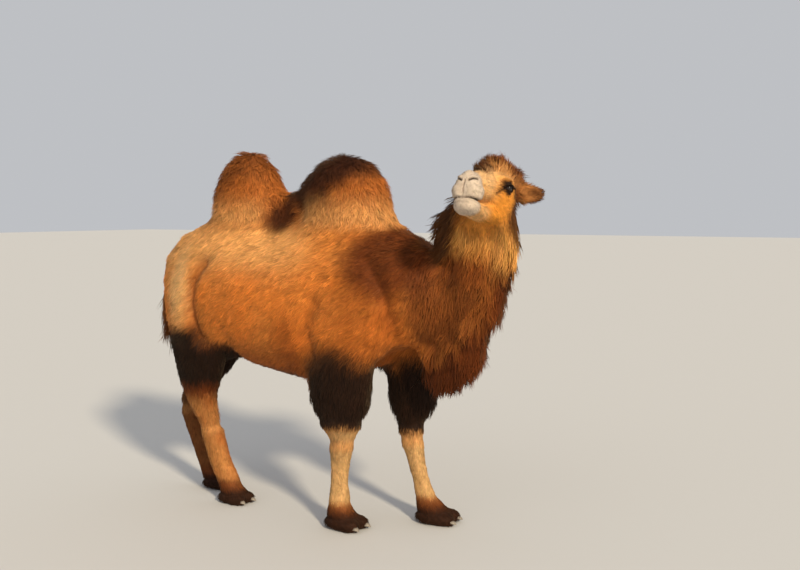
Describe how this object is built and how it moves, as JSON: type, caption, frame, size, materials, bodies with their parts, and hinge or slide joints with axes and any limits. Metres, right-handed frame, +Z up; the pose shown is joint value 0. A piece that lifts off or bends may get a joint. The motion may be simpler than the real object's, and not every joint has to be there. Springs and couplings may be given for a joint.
{
  "type": "camel",
  "caption": "Standing two-humped Bactrian camel in its woolly coat, head turned to its right, made life size as a still model.",
  "frame": {"origin": "on the floor, under the middle of the part's bounding box", "axes": "+X the way the camel's body faces, +Y towards its left side, +Z up"},
  "size_m": [2.4178, 0.8598, 2.0196],
  "materials": {
    "body_coat": "woolly chestnut coat, matte, dark brown on the crowns of the humps, the shoulders' sleeves and the thighs",
    "leg_coat": "short sandy hair, matte, dark brown on the feet",
    "face_coat": "short pale sand hair, matte, greyish white on muzzle and chin",
    "long_hair": "long shaggy red-brown hair, soft sheen",
    "dark_hair": "long dark brown hair, soft sheen",
    "eye": "wet gloss, near black brown",
    "nail": "worn grey horn"
  },
  "bodies": {
    "root": {"trunk": "body_coat", "hump_front": "body_coat", "hump_rear": "body_coat", "neck_lower": "leg_coat", "neck_upper": "body_coat", "head": "face_coat", "lower_jaw": "face_coat", "eye_left": "eye", "ear_left": "body_coat", "eye_right": "eye", "ear_right": "body_coat", "fore_right_upper": "body_coat", "fore_right_lower": "leg_coat", "fore_right_foot": "leg_coat", "fore_right_nail_outer": "nail", "fore_right_nail_inner": "nail", "fore_left_upper": "body_coat", "fore_left_lower": "leg_coat", "fore_left_foot": "leg_coat", "fore_left_nail_outer": "nail", "fore_left_nail_inner": "nail", "hind_right_upper": "body_coat", "hind_right_lower": "leg_coat", "hind_right_foot": "leg_coat", "hind_right_nail_outer": "nail", "hind_right_nail_inner": "nail", "hind_left_upper": "body_coat", "hind_left_lower": "leg_coat", "hind_left_foot": "leg_coat", "hind_left_nail_outer": "nail", "hind_left_nail_inner": "nail", "forelock": "dark_hair", "nape_mane": "dark_hair", "throat_hair": "long_hair", "tail": "long_hair"}
  },
  "joints": []
}
